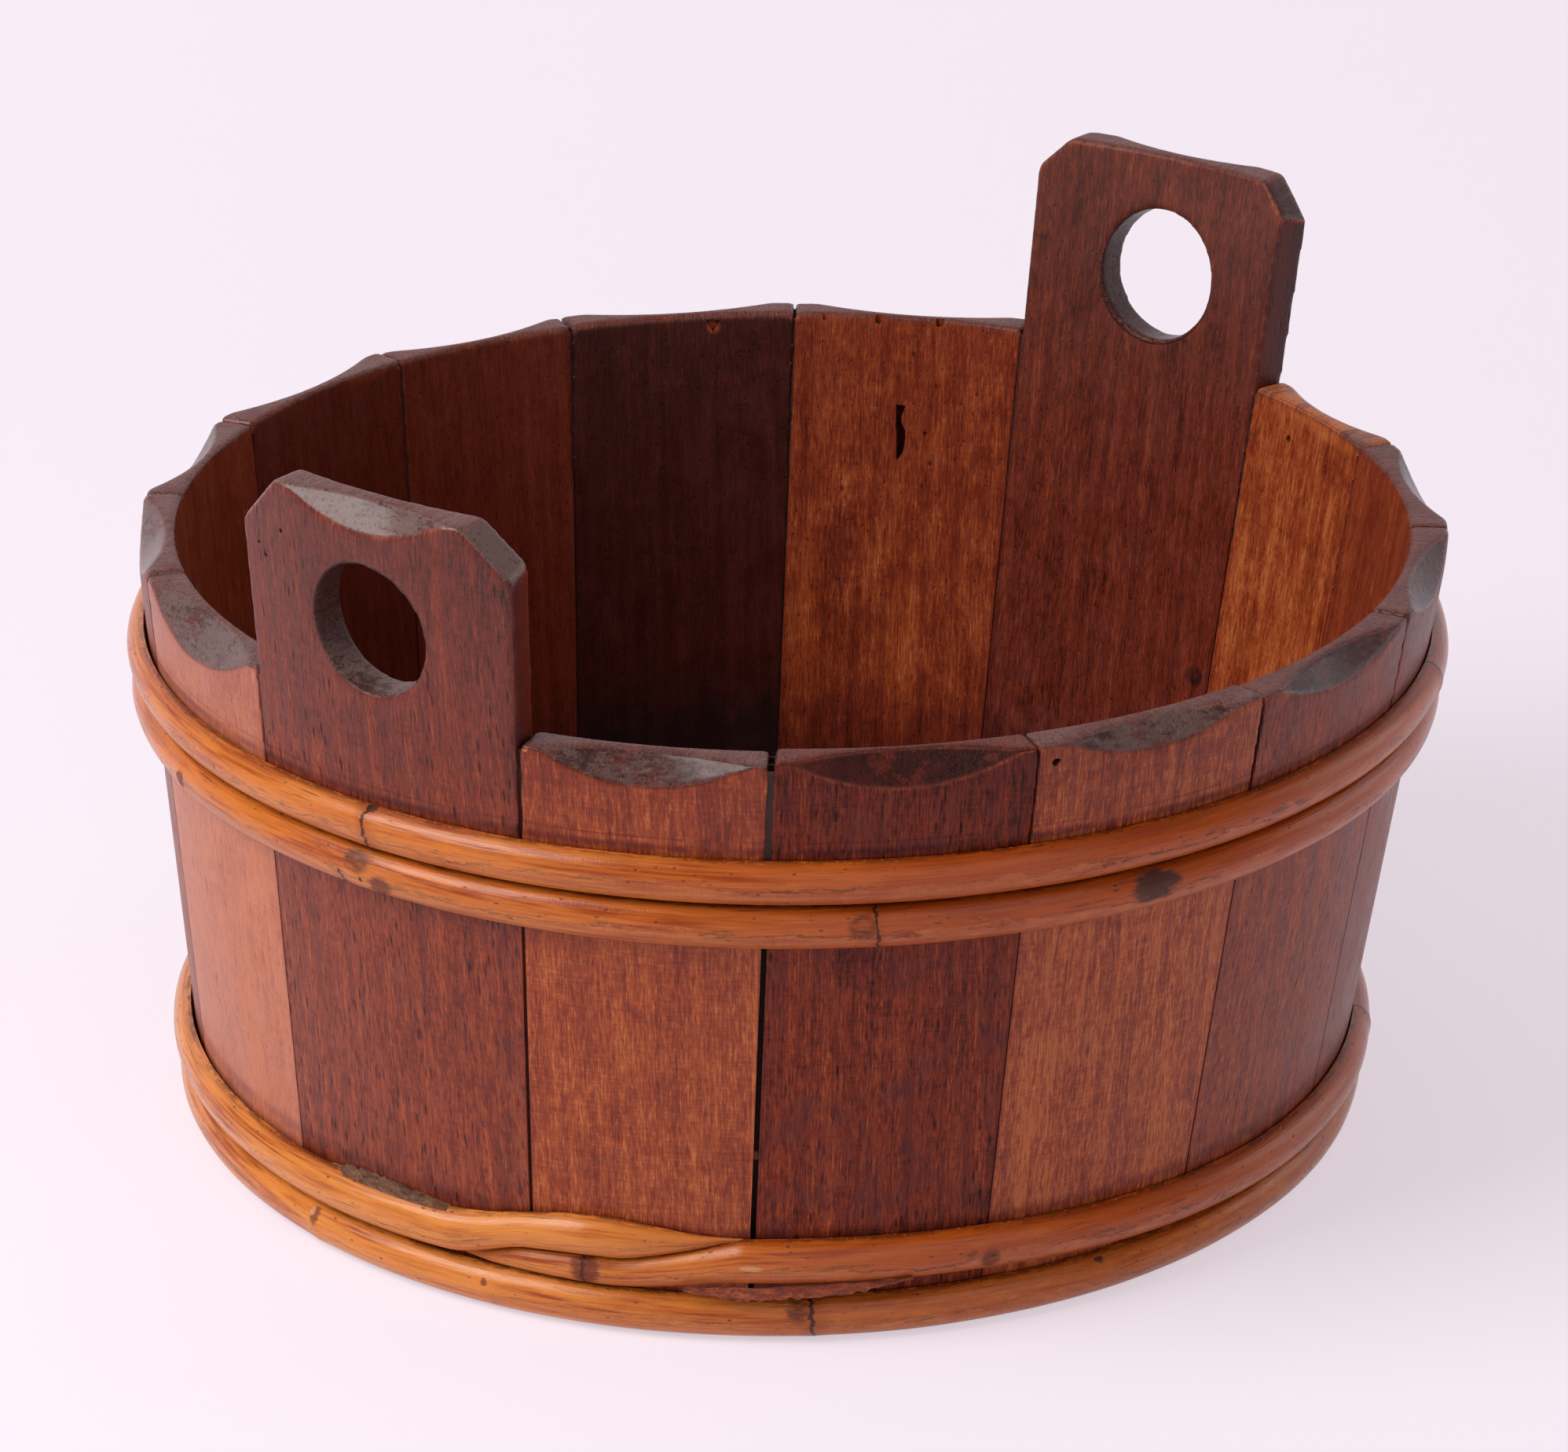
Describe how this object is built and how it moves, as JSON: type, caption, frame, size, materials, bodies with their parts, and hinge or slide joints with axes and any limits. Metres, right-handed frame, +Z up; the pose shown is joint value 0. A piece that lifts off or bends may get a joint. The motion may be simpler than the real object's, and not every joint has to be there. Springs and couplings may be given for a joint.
{
  "type": "wooden piggin",
  "caption": "Round coopered wooden tub with tapered staves, scalloped rim, opposed pierced handle staves and paired split-cane hoops.",
  "frame": {"origin": "middle of the outline at the height of the foot", "axes": "+Z up through the open top; the two handles stand on -X and +X"},
  "size_m": [0.2846, 0.2804, 0.1748],
  "materials": {
    "stave_wood": "worn oiled",
    "handle_wood": "worn oiled",
    "bottom_wood": "worn",
    "pin_bamboo": "plain",
    "split_cane": "varnished"
  },
  "bodies": {
    "root": {"handle_stave_far": "handle_wood", "stave_left_7": "stave_wood", "stave_left_6": "stave_wood", "stave_left_5": "stave_wood", "stave_left_4": "stave_wood", "stave_left_3": "stave_wood", "stave_left_2": "stave_wood", "stave_left_1": "stave_wood", "handle_stave_near": "handle_wood", "stave_right_1": "stave_wood", "stave_right_2": "stave_wood", "stave_right_3": "stave_wood", "stave_right_4": "stave_wood", "stave_right_5": "stave_wood", "stave_right_6": "stave_wood", "stave_right_7": "stave_wood", "bottom_board_1": "bottom_wood", "bottom_board_2": "bottom_wood", "bottom_board_3": "bottom_wood", "board_pins": "pin_bamboo", "stave_pins": "pin_bamboo", "hoop_upper_top": "split_cane", "hoop_upper_bottom": "split_cane", "hoop_lower_top": "split_cane", "hoop_lower_bottom": "split_cane"}
  },
  "joints": []
}
